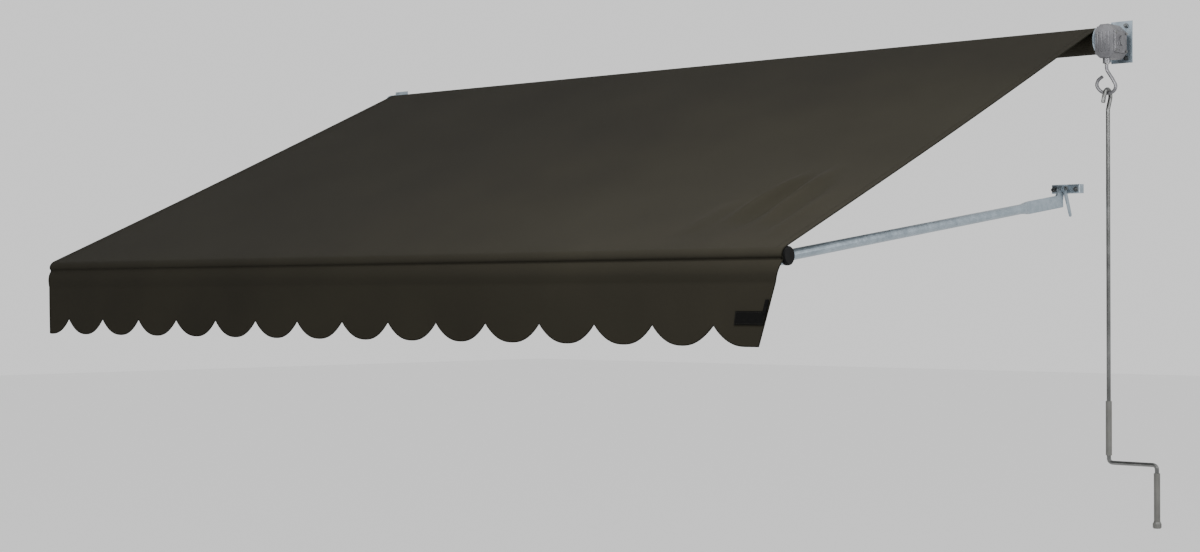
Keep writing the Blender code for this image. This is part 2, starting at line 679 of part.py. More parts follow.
# ---- front bar, valance and canopy --------------------------------------
def front_bar(empty):
    bar = ring("front_bar", BAR_R, BAR_R - BAR_WALL, Vector((FABRIC_LEFT, BAR_Y, BAR_Z)),
               FABRIC_RIGHT, "X", galvanised())
    pieces = [bar]
    for side, edge in ((-1, FABRIC_LEFT), (1, FABRIC_RIGHT)):
        name = "end_plug_right" if side > 0 else "end_plug_left"
        cap = [(0, 0.005), (BAR_R - 0.003, 0.005), (BAR_R + 0.0005, 0.002), (BAR_R + 0.0005, GAP),
               (BAR_R - BAR_WALL - GAP, GAP), (BAR_R - BAR_WALL - GAP, -0.022), (0, -0.022)]
        plug = turned(name, cap, (0, 0, 0), "Z", black_plastic())
        turn = Matrix.Rotation(math.radians(90 * side), 4, "Y")
        plug.matrix_world = Matrix.Translation((edge, BAR_Y, BAR_Z)) @ turn
        pieces.append(smooth(bake(plug)))
    hang(pieces, empty)


def valance(empty):
    """The scalloped flap, half a scallop at the left end and a slanted cut at the right."""
    low = VALANCE_CUSP - SCALLOP_DEPTH
    depth = SCALLOP_DEPTH
    half = SCALLOP_PITCH / 2
    outline = [(FABRIC_RIGHT, VALANCE_TOP), (FABRIC_LEFT, VALANCE_TOP)]
    steps = 6
    first = FABRIC_LEFT + FIRST_CUSP
    for scallop in range(-1, SCALLOP_COUNT + 1):
        centre = first + (scallop + 0.5) * SCALLOP_PITCH
        for i in range(steps):
            u = -1 + 2 * i / steps
            x = centre + half * u
            if x < FABRIC_LEFT:
                continue
            if scallop == SCALLOP_COUNT and u > 0:
                continue
            outline.append((x, VALANCE_CUSP - depth * (1 - abs(u) ** 2.3)))
    outline.append((FABRIC_RIGHT - VALANCE_SLANT, low))
    outline[2:2] = [(FABRIC_LEFT, low + 0.0005)]
    flap = plate("valance", outline, VALANCE_Y, CANOPY_THICKNESS, "Y", canvas())
    hang([flap], empty)


def canopy(empty):
    """The stretched cover, from the roller's top over the front bar."""
    run, drop = ROLLER_Y - BAR_Y, -BAR_Z
    distance = math.hypot(run, drop)
    slope = math.atan2(drop, run)
    lean = slope + math.asin((WRAP_R - BAR_R) / distance)
    lower = []
    upper = []
    for centre, radius, angles in (((ROLLER_Y, 0), WRAP_R + GAP, (84, 90 + math.degrees(lean))),
                                   ((BAR_Y, BAR_Z), BAR_R + GAP, (90 + math.degrees(lean), 150))):
        lower += arc(centre, radius, angles[0], angles[1], 6)
        upper += arc(centre, radius + CANOPY_THICKNESS, angles[0], angles[1], 6)
    sheet = plate("canopy", lower + upper[::-1], (FABRIC_LEFT + FABRIC_RIGHT) / 2, FABRIC_WIDTH, "X",
                  canvas())
    hang([smooth(sheet)], empty)


# ---- the whole awning ---------------------------------------------------
def main():
    global PARTS, CUTTERS
    clear_scene()
    PARTS = make_collection("canvas_awning")
    CUTTERS = make_collection("cutters")
    roller_bracket(1)
    roller_bracket(-1)
    roller()
    gearbox()
    crank()
    arm_axis = pivot_empty("arm_axis", (0, PIVOT_Y, PIVOT_Z))
    pin_y = -ARM_LENGTH * math.cos(ARM_SLOPE)
    pin_z = ARM_AXIS_Z - ARM_LENGTH * math.sin(ARM_SLOPE)
    bar_axis = pivot_empty("bar_axis", (0, pin_y, pin_z))
    for side in (1, -1):
        lever_axis = pivot_empty("lever_axis", (0, PIVOT_Y, PIVOT_Z))
        arm_assembly(side, arm_axis, bar_axis, lever_axis)
    front_bar(bar_axis)
    valance(bar_axis)
    canopy(arm_axis)


main()
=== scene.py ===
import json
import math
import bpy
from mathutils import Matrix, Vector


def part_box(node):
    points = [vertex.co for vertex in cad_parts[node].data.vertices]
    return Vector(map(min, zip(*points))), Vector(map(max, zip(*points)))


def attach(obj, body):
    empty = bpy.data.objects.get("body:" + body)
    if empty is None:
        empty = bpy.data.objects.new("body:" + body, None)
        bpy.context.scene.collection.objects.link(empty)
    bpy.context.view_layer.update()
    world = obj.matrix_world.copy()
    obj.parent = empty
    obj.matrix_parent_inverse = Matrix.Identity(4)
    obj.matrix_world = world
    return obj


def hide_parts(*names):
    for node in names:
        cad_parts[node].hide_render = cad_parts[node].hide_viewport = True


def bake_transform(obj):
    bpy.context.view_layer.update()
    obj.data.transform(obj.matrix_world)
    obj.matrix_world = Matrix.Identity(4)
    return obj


bl_info = {
    "name": "Canvas Awning",
    "version": (1, 0, 0),
    "blender": (4, 5, 0),
    "location": "View3D > Sidebar > Awning",
    "description": "Stretched canvas, scalloped valance and metal finishes for a crank awning",
    "category": "Object",
}

import bmesh
import bpy
from bpy.props import FloatProperty, PointerProperty, StringProperty
from mathutils import Matrix, Vector

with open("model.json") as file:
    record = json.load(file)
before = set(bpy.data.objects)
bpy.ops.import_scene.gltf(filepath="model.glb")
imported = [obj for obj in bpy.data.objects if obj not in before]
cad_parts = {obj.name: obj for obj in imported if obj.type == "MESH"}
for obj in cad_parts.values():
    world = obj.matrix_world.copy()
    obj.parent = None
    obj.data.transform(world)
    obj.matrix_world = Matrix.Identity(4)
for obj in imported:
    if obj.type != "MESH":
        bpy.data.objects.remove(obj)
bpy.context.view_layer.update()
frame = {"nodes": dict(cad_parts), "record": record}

BAR_LOW, BAR_HIGH = (Vector(corner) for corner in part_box("front_bar"))
WRAP_LOW, WRAP_HIGH = (Vector(corner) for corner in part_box("fabric_wraps"))
FLAP_LOW, FLAP_HIGH = (Vector(corner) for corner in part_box("valance"))
ARM_SWING = next(joint for joint in frame["record"]["behaviour"]["joints"]
                 if joint["name"] == "arm_swing")
PIVOT = Vector(ARM_SWING["pos_m"])

LEFT, RIGHT = WRAP_LOW.x, WRAP_HIGH.x
WIDTH = RIGHT - LEFT
ROLLER = (WRAP_LOW.yz + WRAP_HIGH.yz) / 2
ROLLER_R = (WRAP_HIGH.z - WRAP_LOW.z) / 2
BAR = (BAR_LOW.yz + BAR_HIGH.yz) / 2
BAR_R = (BAR_HIGH.z - BAR_LOW.z) / 2
LEAN = math.atan2(ROLLER.y - BAR.y, ROLLER.x - BAR.x)
LEAN += math.asin((ROLLER_R - BAR_R) / (ROLLER - BAR).length)

# The cover's straight run touches the bar and the roller at TANGENT degrees, lifted off them by
# these gaps. Its front strip is the last SEAM metres above the bar.
TANGENT = 90 + math.degrees(LEAN)
BAR_LIFT, ROLLER_LIFT = 0.0022, 0.0012
SEAM = 0.26
SEAM_ROWS, STRIP_ROWS = 112, 22
LAP_STEPS, LAP_DEGREES = 8, 5
SIDES = (("left", LEFT), ("right", RIGHT))

# The strap patch on the valance, and how far inside its edge it is sewn.
PATCH_LOW, PATCH_HIGH = FLAP_LOW.z + 0.052, FLAP_LOW.z + 0.085
PATCH_RIGHT, PATCH_WIDTH, PATCH_MARGIN = RIGHT - 0.003, 0.114, 0.003


# ---- small tools ----------------------------------------------------------
def linear(hex_colour, alpha=1.0):
    """An sRGB hex colour as linear red, green, blue and alpha."""
    parts = [int(hex_colour[i:i + 2], 16) / 255 for i in (1, 3, 5)]
    return (*[p / 12.92 if p <= 0.04045 else ((p + 0.055) / 1.055) ** 2.4 for p in parts], alpha)


def add_node(tree, kind, settings=None, inputs=None):
    """Adds one node, sets its properties and fills or links its sockets."""
    node = tree.nodes.new(kind)
    for key, value in (settings or {}).items():
        setattr(node, key, value)
    for key, value in (inputs or {}).items():
        if isinstance(value, bpy.types.NodeSocket):
            tree.links.new(value, node.inputs[key])
        else:
            node.inputs[key].default_value = value
    return node


def new_material(name, values):
    """A new material, its node tree and its shader, which gets these values by socket name."""
    mat = bpy.data.materials.new(name)
    mat.use_nodes = True
    shader = mat.node_tree.nodes["Principled BSDF"]
    for socket, value in values.items():
        shader.inputs[socket].default_value = value
    return mat, mat.node_tree, shader


def mm(value):
    """A texture scale that repeats about once in this many millimetres."""
    return 1000.0 / value


def ramp(tree, factor, stops):
    """Colours between stops, each a position and a colour."""
    node = add_node(tree, "ShaderNodeValToRGB", inputs={"Fac": factor})
    elements = node.color_ramp.elements
    while len(elements) < len(stops):
        elements.new(0.5)
    for element, (position, colour) in zip(elements, stops):
        element.position = position
        element.color = colour
    return node.outputs["Color"]


def bump(tree, shader, height, distance, strength=1.0, below=None):
    """Adds relief to the shader, on top of the relief below if there is one."""
    inputs = {"Height": height, "Distance": distance, "Strength": strength}
    if below is not None:
        inputs["Normal"] = below
    node = add_node(tree, "ShaderNodeBump", inputs=inputs)
    tree.links.new(node.outputs["Normal"], shader.inputs["Normal"])
    return node.outputs["Normal"]


def object_coords(tree, stretch=(1, 1, 1)):
    """Places on the piece in metres, stretched along its axes."""
    coords = add_node(tree, "ShaderNodeTexCoord")
    mapping = add_node(tree, "ShaderNodeMapping",
                       inputs={"Vector": coords.outputs["Object"], "Scale": stretch})
    return mapping.outputs["Vector"]


# ---- materials --------------------------------------------------------------
def solution_dyed_acrylic(name, colour, shade, thread_mm, on_roll=False):
    """Woven awning acrylic: matt, a plain weave and slow cloudy unevenness. The fibres lie in
    every direction, so it has hardly any mirror gloss and its IOR is well below acrylic's 1.49.
    The real thread is about 0.5 mm; it is drawn thicker so that the weave shows close up."""
    mat, tree, shader = new_material(name, {"Roughness": 0.75, "IOR": 1.13})
    if on_roll:
        uv = object_coords(tree)
    else:
        uv = add_node(tree, "ShaderNodeUVMap", {"uv_map": "cloth"}).outputs["UV"]
    waves = []
    for direction in ("X", "Z" if on_roll else "Y"):
        wave = add_node(tree, "ShaderNodeTexWave",
                        {"bands_direction": direction, "wave_profile": "SIN"},
                        {"Vector": uv, "Scale": mm(thread_mm) * math.pi / 10, "Distortion": 0.6,
                         "Detail": 1.0, "Detail Scale": 2.0})
        waves.append(wave.outputs["Fac"])
    weave = add_node(tree, "ShaderNodeMath", {"operation": "MULTIPLY"}, {0: waves[0], 1: waves[1]})
    cloudy = add_node(tree, "ShaderNodeTexNoise",
                      inputs={"Vector": uv, "Scale": mm(420), "Detail": 3.0, "Roughness": 0.55})
    slub = add_node(tree, "ShaderNodeTexNoise",
                    inputs={"Vector": uv, "Scale": mm(9), "Detail": 2.0, "Roughness": 0.6})
    mixed = add_node(tree, "ShaderNodeMath", {"operation": "MULTIPLY_ADD"},
                     {0: slub.outputs["Fac"], 1: 0.25, 2: cloudy.outputs["Fac"]})
    colours = ramp(tree, mixed.outputs["Value"],
                   [(0.40, linear(shade)), (0.80, linear(colour))])
    woven = add_node(tree, "ShaderNodeMix", {"data_type": "RGBA", "blend_type": "MULTIPLY"},
                     {"Factor": 0.22, "A": colours})
    grey = add_node(tree, "ShaderNodeMix", {"data_type": "RGBA"},
                    {"Factor": weave.outputs["Value"], "A": linear("#8C8C8C"), "B": linear("#FFFFFF")})
    tree.links.new(grey.outputs["Result"], woven.inputs["B"])
    tree.links.new(woven.outputs["Result"], shader.inputs["Base Color"])
    fine = bump(tree, shader, weave.outputs["Value"], 0.0004, 0.35)
    bump(tree, shader, slub.outputs["Fac"], 0.0006, 0.25, fine)
    return mat


def hot_dip_galvanised(name, colour, dark, roughness=0.34, spangle_mm=11):
    """Hot-dip galvanised steel: blue-grey zinc with soft crystal spangles and drawn streaks."""
    mat, tree, shader = new_material(name, {"Metallic": 0.6, "Roughness": roughness})
    place = object_coords(tree)
    cells = add_node(tree, "ShaderNodeTexVoronoi", {"feature": "F1"},
                     {"Vector": place, "Scale": mm(spangle_mm), "Randomness": 1.0})
    cloudy = add_node(tree, "ShaderNodeTexNoise",
                      inputs={"Vector": place, "Scale": mm(45), "Detail": 4.0, "Roughness": 0.6})
    drawn = add_node(tree, "ShaderNodeTexNoise",
                     inputs={"Vector": object_coords(tree, (1, 0.04, 1)), "Scale": mm(3), "Detail": 2.0})
    crystal = add_node(tree, "ShaderNodeSeparateColor", inputs={"Color": cells.outputs["Color"]})
    blend = add_node(tree, "ShaderNodeMath", {"operation": "MULTIPLY_ADD"},
                     {0: crystal.outputs["Red"], 1: 0.18, 2: cloudy.outputs["Fac"]})
    tree.links.new(ramp(tree, blend.outputs["Value"], [(0.35, linear(dark)), (0.85, linear(colour))]),
                   shader.inputs["Base Color"])
    gloss = add_node(tree, "ShaderNodeMapRange",
                     inputs={"Value": blend.outputs["Value"], "From Min": 0.3, "From Max": 0.9,
                             "To Min": roughness - 0.08, "To Max": roughness + 0.12})
    tree.links.new(gloss.outputs["Result"], shader.inputs["Roughness"])
    bump(tree, shader, drawn.outputs["Fac"], 0.0002, 0.3)
    return mat


def die_cast_zinc(name, colour, dark):
    """Die-cast zinc alloy: dull mid grey with flow marks and a fine gritty skin."""
    mat, tree, shader = new_material(name, {"Metallic": 0.75, "Roughness": 0.46})
    place = object_coords(tree)
    flow = add_node(tree, "ShaderNodeTexNoise",
                    inputs={"Vector": place, "Scale": mm(30), "Detail": 5.0, "Distortion": 0.8})
    grit = add_node(tree, "ShaderNodeTexNoise",
                    inputs={"Vector": place, "Scale": mm(1.4), "Detail": 3.0, "Roughness": 0.7})
    tree.links.new(ramp(tree, flow.outputs["Fac"], [(0.25, linear(dark)), (0.80, linear(colour))]),
                   shader.inputs["Base Color"])
    rough = add_node(tree, "ShaderNodeMapRange",
                     inputs={"Value": grit.outputs["Fac"], "To Min": 0.36, "To Max": 0.58})
    tree.links.new(rough.outputs["Result"], shader.inputs["Roughness"])
    bump(tree, shader, grit.outputs["Fac"], 0.0003, 0.5)
    return mat


def plated_rod(name, colour, dark, roughness):
    """Zinc-plated drawn rod: smooth satin metal with faint draw lines along its length."""
    mat, tree, shader = new_material(name, {"Metallic": 0.9, "Roughness": roughness})
    lines = add_node(tree, "ShaderNodeTexNoise",
                     inputs={"Vector": object_coords(tree, (1, 1, 0.03)), "Scale": mm(2.2),
                             "Detail": 3.0})
    stains = add_node(tree, "ShaderNodeTexNoise",
                      inputs={"Vector": object_coords(tree), "Scale": mm(60), "Detail": 4.0})
    tree.links.new(ramp(tree, stains.outputs["Fac"], [(0.35, linear(dark)), (0.70, linear(colour))]),
                   shader.inputs["Base Color"])
    bump(tree, shader, lines.outputs["Fac"], 0.0002, 0.35)
    return mat


def moulded_plastic(name, colour, roughness, grain_mm, gloss=0.5):
    """Moulded plastic with the fine spark-eroded grain of its tool."""
    mat, tree, shader = new_material(
        name, {"Roughness": roughness, "IOR": 1.49, "Specular IOR Level": gloss})
    place = object_coords(tree)
    grain = add_node(tree, "ShaderNodeTexVoronoi", {"feature": "F1"},
                     {"Vector": place, "Scale": mm(grain_mm)})
    worn = add_node(tree, "ShaderNodeTexNoise", inputs={"Vector": place, "Scale": mm(35), "Detail": 3.0})
    base = linear(colour)
    lighter = tuple(min(1.0, c * 1.35 + 0.002) for c in base[:3]) + (1.0,)
    tree.links.new(ramp(tree, worn.outputs["Fac"], [(0.35, base), (0.75, lighter)]),
                   shader.inputs["Base Color"])
    bump(tree, shader, grain.outputs["Distance"], 0.0002, 0.3)
    return mat


def woven_webbing(name, colour):
    """Black polyester webbing: a tight ribbed weave about 1 mm apart with a dull lustre."""
    mat, tree, shader = new_material(name, {"Roughness": 0.6, "IOR": 1.12})
    uv = add_node(tree, "ShaderNodeUVMap", {"uv_map": "cloth"}).outputs["UV"]
    ribs = add_node(tree, "ShaderNodeTexWave", {"bands_direction": "Y"},
                    {"Vector": uv, "Scale": mm(1.1) * math.pi / 10, "Distortion": 0.4})
    fluff = add_node(tree, "ShaderNodeTexNoise", inputs={"Vector": uv, "Scale": mm(7), "Detail": 3.0})
    dark = linear(colour)
    tree.links.new(ramp(tree, fluff.outputs["Fac"], [(0.3, dark), (0.8, linear("#0D0D0C"))]),
                   shader.inputs["Base Color"])
    bump(tree, shader, ribs.outputs["Fac"], 0.0004, 0.5)
    return mat


# ---- settings -----------------------------------------------------------------
class AwningCloth(bpy.types.PropertyGroup):
    """Sizes and colours of the cover and the valance"""
    sag: FloatProperty(name="Sag", description="Depth of the cover's sag between roller and bar",
                       default=0.006, unit="LENGTH")
    wrinkle: FloatProperty(name="Wrinkle height",
                           description="Height of the folds near the front corner",
                           default=0.0150, unit="LENGTH")
    thickness: FloatProperty(name="Cloth thickness", description="Thickness of the woven cover",
                             default=0.0008, unit="LENGTH")
    hem: FloatProperty(name="Hem width", description="Width of the side hems", default=0.024,
                       unit="LENGTH")
    step: FloatProperty(name="Mesh step", description="Size of the cloth's faces", default=0.0125,
                        unit="LENGTH")
    thread: FloatProperty(name="Thread", description="Drawn thread spacing in millimetres", default=1.6)
    colour: StringProperty(name="Colour", description="Charcoal of the cover, as sRGB hex",
                           default="#26241D")
    shade: StringProperty(name="Shade", description="Darker charcoal in the cover's unevenness",
                          default="#22201A")
    edge: StringProperty(name="Edge", description="Binding and piping colour", default="#16150F")


class AwningFlap(bpy.types.PropertyGroup):
    """Sizes of the scalloped valance"""
    pitch: FloatProperty(name="Scallop pitch", description="Distance between two points of the edge",
                         default=0.1946, unit="LENGTH")
    depth: FloatProperty(name="Scallop depth", description="Height of one scallop", default=0.050,
                         unit="LENGTH")
    first: FloatProperty(name="First point", description="Left end to the first point of the edge",
                         default=0.108, unit="LENGTH")
    slant: FloatProperty(name="Slant", description="How far the right end is cut in at its foot",
                         default=0.069, unit="LENGTH")
    ripple: FloatProperty(name="Ripple", description="Depth of the flap's soft waves", default=0.0035,
                          unit="LENGTH")


# ---- cloth ----------------------------------------------------------------------
def around(centre, radius, degrees):
    """A point of the side view, on a circle; 0 degrees points to the wall and 90 up."""
    angle = math.radians(degrees)
    return Vector((centre.x + radius * math.cos(angle), centre.y + radius * math.sin(angle)))


def run_ends():
    """Where the cover's straight run leaves the bar and where it meets the roller."""
    return around(BAR, BAR_R + BAR_LIFT, TANGENT), around(ROLLER, ROLLER_R + ROLLER_LIFT, TANGENT)


def slope_point(distance):
    """A point on the straight run, measured from the bar's tangent towards the roller."""
    start, end = run_ends()
    return start + (end - start) * (distance / (end - start).length)


def run_length():
    start, end = run_ends()
    return (end - start).length


def folds(x, v, height):
    """Soft ridges that run up the cover near the front corner of the crank side. Each one has its
    lower end, its upper end, its half width and its share of the height, negative for a hollow."""
    total = 0.0
    ridges = ((-0.345, 0.17, -0.325, 0.52, 0.018, 1.0), (-0.222, 0.15, -0.250, 0.56, 0.019, 1.0),
              (-0.285, 0.12, -0.290, 0.50, 0.020, -0.8), (-0.172, 0.10, -0.192, 0.46, 0.020, -0.5),
              (-0.135, 0.06, -0.150, 0.36, 0.022, 0.45), (-0.430, 0.10, -0.415, 0.34, 0.030, 0.35))
    for x0, v0, x1, v1, half_width, weight in ridges:
        along = (v - v0) / (v1 - v0)
        centre = x0 + (x1 - x0) * along
        across = math.exp(-((x - centre) / half_width) ** 2)
        length = math.exp(-((along - 0.5) / 0.42) ** 4)
        total += weight * across * length
    return total * height


def billow(x, v, sag, reach):
    """Sag between roller and bar, with slow waves across the width."""
    t = min(max(v / reach, 0.0), 1.0)
    hang = -sag * math.sin(math.pi * t) * (0.85 + 0.15 * math.cos(3.1 * x + 0.4))
    slow = 0.0016 * math.sin(2.3 * x + 1.1) * math.sin(math.pi * t)
    slow += 0.0010 * math.sin(5.7 * x - 2.0 + 1.3 * t) * math.sin(math.pi * t) ** 2
    return hang + slow


def cloth_object(name, rows, uvs, materials, thickness):
    """A grid of points, rows by columns, given a thickness below its face."""
    bm = bmesh.new()
    layer = bm.loops.layers.uv.new("cloth")
    verts = [[bm.verts.new(p) for p in row] for row in rows]
    for r in range(len(rows) - 1):
        for c in range(len(rows[0]) - 1):
            corners = ((r, c), (r, c + 1), (r + 1, c + 1), (r + 1, c))
            face = bm.faces.new([verts[i][j] for i, j in corners])
            face.smooth = True
            for loop, (i, j) in zip(face.loops, corners):
                loop[layer].uv = uvs[i][j]
    bmesh.ops.recalc_face_normals(bm, faces=bm.faces)
    mesh = bpy.data.meshes.new(name)
    bm.to_mesh(mesh)
    bm.free()
    obj = bpy.data.objects.new(name, mesh)
    bpy.context.scene.collection.objects.link(obj)
    for mat in materials:
        mesh.materials.append(mat)
    solid = obj.modifiers.new("thickness", "SOLIDIFY")
    solid.thickness = thickness
    solid.offset = -1
    apply_modifiers(obj)
    sharpen(obj, 55)
    return obj


def sharpen(obj, degrees):
    """Shades smooth apart from the edges where the faces turn by more than this angle."""
    bm = bmesh.new()
    bm.from_mesh(obj.data)
    for edge in bm.edges:
        edge.smooth = edge.calc_face_angle(math.pi) < math.radians(degrees)
    bm.to_mesh(obj.data)
    bm.free()


def apply_modifiers(obj):
    bpy.ops.object.select_all(action="DESELECT")
    obj.select_set(True)
    bpy.context.view_layer.objects.active = obj
    for modifier in list(obj.modifiers):
        bpy.ops.object.modifier_apply(modifier=modifier.name)
    obj.select_set(False)


def columns(step):
    """Even places across the cover's width."""
    count = round(WIDTH / step)
    return [LEFT + WIDTH * i / count for i in range(count + 1)]


def cover_point(x, v, cloth):
    """A point of the cover at distance v up the slope from the bar."""
    reach = run_length()
    flat = slope_point(v)
    normal = Vector((-math.sin(LEAN), math.cos(LEAN)))
    rise = billow(x, v, cloth.sag, reach) + folds(x, v, cloth.wrinkle)
    near_bar = min(1.0, max(0.0, v / 0.06))
    flat = flat + normal * rise * near_bar
    return Vector((x, flat.x, flat.y))


def grid_uv(xs, lengths):
    """Flat places in metres for every point of a grid."""
    return [[(x - LEFT, v) for x in xs] for v in lengths]


def path_lengths(points):
    """The distance along a line of points at each of them."""
    lengths = [0.0]
    for a, b in zip(points, points[1:]):
        lengths.append(lengths[-1] + (b - a).length)
    return lengths


def bar_wrap_profile():
    """The cover over the bar's top and front down to the slot, by turn in degrees and lift."""
    shape = ((0, BAR_LIFT), (12, 0.0024), (26, 0.0030), (40, 0.0036), (52, 0.0040), (62, 0.0038),
             (70, 0.0030), (76, 0.0016), (80, 0.0004))
    return [around(BAR, BAR_R + lift, TANGENT + turn) for turn, lift in shape]


def spline(points, per_span):
    """A Catmull-Rom curve through 2-D points."""
    ends = [2 * points[0] - points[1]] + list(points) + [2 * points[-1] - points[-2]]
    path = []
    for a, b, c, d in zip(ends, ends[1:], ends[2:], ends[3:]):
        for i in range(per_span):
            t = i / per_span
            path.append(0.5 * (2 * b + (c - a) * t + (2 * a - 5 * b + 4 * c - d) * t ** 2
                               + (3 * b - a - 3 * c + d) * t ** 3))
    path.append(points[-1].copy())
    return path


def edge_curve(name, points, mat, radius):
    """A round tape with closed ends along a line of points."""
    curve = bpy.data.curves.new(name, "CURVE")
    curve.dimensions = "3D"
    curve.bevel_depth = radius
    curve.bevel_resolution = 2
    curve.use_fill_caps = True
    line = curve.splines.new("POLY")
    line.points.add(len(points) - 1)
    for point, co in zip(line.points, points):
        point.co = (*co, 1)
    temp = bpy.data.objects.new(name + "_curve", curve)
    bpy.context.scene.collection.objects.link(temp)
    bpy.context.view_layer.update()
    depsgraph = bpy.context.evaluated_depsgraph_get()
    mesh = bpy.data.meshes.new_from_object(temp.evaluated_get(depsgraph))
    bpy.data.objects.remove(temp, do_unlink=True)
    bm = bmesh.new()
    bm.from_mesh(mesh)
    bmesh.ops.remove_doubles(bm, verts=bm.verts, dist=0.00002)
    bmesh.ops.recalc_face_normals(bm, faces=bm.faces)
    layer = bm.loops.layers.uv.verify()
    for face in bm.faces:
        face.smooth = True
        for loop in face.loops:
            loop[layer].uv = (loop.vert.co.x, loop.vert.co.y)
    bm.to_mesh(mesh)
    bm.free()
    mesh.uv_layers[0].name = "cloth"
    mesh.materials.clear()
    mesh.materials.append(mat)
    obj = bpy.data.objects.new(name, mesh)
    bpy.context.scene.collection.objects.link(obj)
    return obj


class AWNING_OT_cover(bpy.types.Operator):
    """Build the stretched cover from the roller to the front bar"""
    bl_idname = "awning.cover"
    bl_label = "Cover"

    def execute(self, context):
        cloth = context.scene.awning_cloth
        mats = cloth_materials(cloth)
        xs = columns(cloth.step)
        reach = run_length()
        main_v = [SEAM + (reach - SEAM) * i / SEAM_ROWS for i in range(SEAM_ROWS + 1)]
        rows = [[cover_point(x, v, cloth) for x in xs] for v in main_v]
        for i in range(1, LAP_STEPS + 1):
            spot = around(ROLLER, ROLLER_R + ROLLER_LIFT, TANGENT - LAP_DEGREES * i)
            rows.append([Vector((x, spot.x, spot.y)) for x in xs])
            main_v.append(reach + math.radians(LAP_DEGREES * i) * (ROLLER_R + ROLLER_LIFT))
        main = cloth_object("canvas_cover", rows, grid_uv(xs, main_v), [mats[0]], cloth.thickness)
        strip_v = [SEAM * (1 - i / STRIP_ROWS) for i in range(STRIP_ROWS + 1)]
        rows = [[cover_point(x, v, cloth) for x in xs] for v in strip_v]
        wrap = spline(bar_wrap_profile(), 3)[1:]
        lengths = path_lengths(wrap)
        for spot, length in zip(wrap, lengths):
            rows.append([Vector((x, spot.x, spot.y)) for x in xs])
            strip_v.append(-length - 0.002)
        strip = cloth_object("canvas_front_strip", rows, grid_uv(xs, strip_v), [mats[0]],
                             cloth.thickness)
        binding = [self.side_binding(label, x, cloth, mats[1]) for label, x in SIDES]
        front_binding = [self.strip_binding(label, x, cloth, mats[1]) for label, x in SIDES]
        for obj in [main] + binding:
            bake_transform(obj)
        for obj in [strip] + front_binding:
            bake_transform(obj)
        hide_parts("canopy")
        return {"FINISHED"}

    @staticmethod
    def side_binding(label, x, cloth, mat):
        reach = run_length()
        points = [cover_point(x, SEAM + (reach - SEAM) * i / 60, cloth) for i in range(61)]
        points = [p + Vector((0, 0, -cloth.thickness / 2)) for p in points]
        return edge_curve("side_binding_" + label, points, mat, 0.0016)

    @staticmethod
    def strip_binding(label, x, cloth, mat):
        points = [cover_point(x, SEAM * (1 - i / 12), cloth) for i in range(13)]
        points += [Vector((x, p.x, p.y)) for p in spline(bar_wrap_profile(), 2)[1:]]
        points = [p + Vector((0, 0, -cloth.thickness / 2)) for p in points]
        return edge_curve("front_binding_" + label, points, mat, 0.0016)


def cloth_materials(cloth):
    """The cover's cloth and the darker edge binding, made once."""
    made = bpy.data.materials.get("solution_dyed_acrylic")
    if made:
        return made, bpy.data.materials["edge_binding_tape"]
    cover = solution_dyed_acrylic("solution_dyed_acrylic", cloth.colour, cloth.shade, cloth.thread)
    tape = solution_dyed_acrylic("edge_binding_tape", cloth.edge, cloth.edge, 0.9)
    return cover, tape


# The edge is at its lowest past this many scallops, which leaves a half one at the right end.
LAST_SCALLOP = 14.5
SLANT_WIDTH = 0.30


def slot_profile():
    """Out of the slot, over a soft roll and down to the flap's hanging plane."""
    spots = [around(BAR, BAR_R + 0.0003, 189), around(BAR, BAR_R + 0.0004, 197),
             around(BAR, BAR_R + 0.0014, 205)]
    spots += [Vector((BAR.x - out, BAR.y - down)) for out, down in (
        (0.0243, 0.0145), (0.0277, 0.0215), (0.0302, 0.0310), (0.0310, 0.0410),
        (0.0298, 0.0520), (0.0277, 0.0640))]
    return spline(spots, 4)


def flap_columns(flap):
    """Columns whose feet are evenly spaced, with one on each point of the scalloped edge."""
    step = flap.pitch / 20
    first = LEFT + flap.first
    last = RIGHT - flap.slant
    lead = math.floor(flap.first / step)
    feet = [first + step * i for i in range(-lead, math.floor((last - first) / step) + 1)]
    feet = [x for x in feet if LEFT + 0.3 * step < x < last - 0.3 * step]
    xs = [LEFT]
    for foot in feet:
        low, high = LEFT, RIGHT
        for _ in range(40):
            middle = (low + high) / 2
            if slanted(middle, FLAP_LOW.z, flap) < foot:
                low = middle
            else:
                high = middle
        xs.append((low + high) / 2)
    return xs + [RIGHT]


def slanted(x, z, flap):
    """The slanted cut at the right end: the flap's last stretch draws in towards its foot."""
    share = min(max((x - (RIGHT - SLANT_WIDTH)) / SLANT_WIDTH, 0.0), 1.0)
    fall = (FLAP_HIGH.z - z) / (FLAP_HIGH.z - FLAP_LOW.z)
    return x - flap.slant * share ** 1.5 * max(fall, 0.0)


def scallop_foot(x, flap):
    """Height of the scalloped edge under column x."""
    place = (slanted(x, FLAP_LOW.z, flap) - LEFT - flap.first) / flap.pitch
    share = place - math.floor(place)
    if place > LAST_SCALLOP:
        share = 0.5
    return FLAP_LOW.z + flap.depth * abs(2 * share - 1) ** 2.3


def hanging_point(x, z, t, start, flap):
    """A point of the flap, with soft waves that grow towards its foot."""
    swing = flap.ripple * t ** 1.4
    wave = math.sin(x * 8.1 + 0.7) * 0.5 + math.sin(x * 17.3 + 2.1 + 1.2 * t) * 0.32
    wave += math.sin(x * 32.3 - 0.9) * 0.18 * t
    y = start.x + 0.0015 * t + swing * wave
    return Vector((slanted(x, z, flap), y, z))


def on_flap(x, z, lift, flap):
    """A point this far in front of the hanging flap."""
    start = slot_profile()[-1]
    share = (start.y - z) / (start.y - FLAP_LOW.z)
    return hanging_point(x, z, share, start, flap) + Vector((0, -lift, 0))


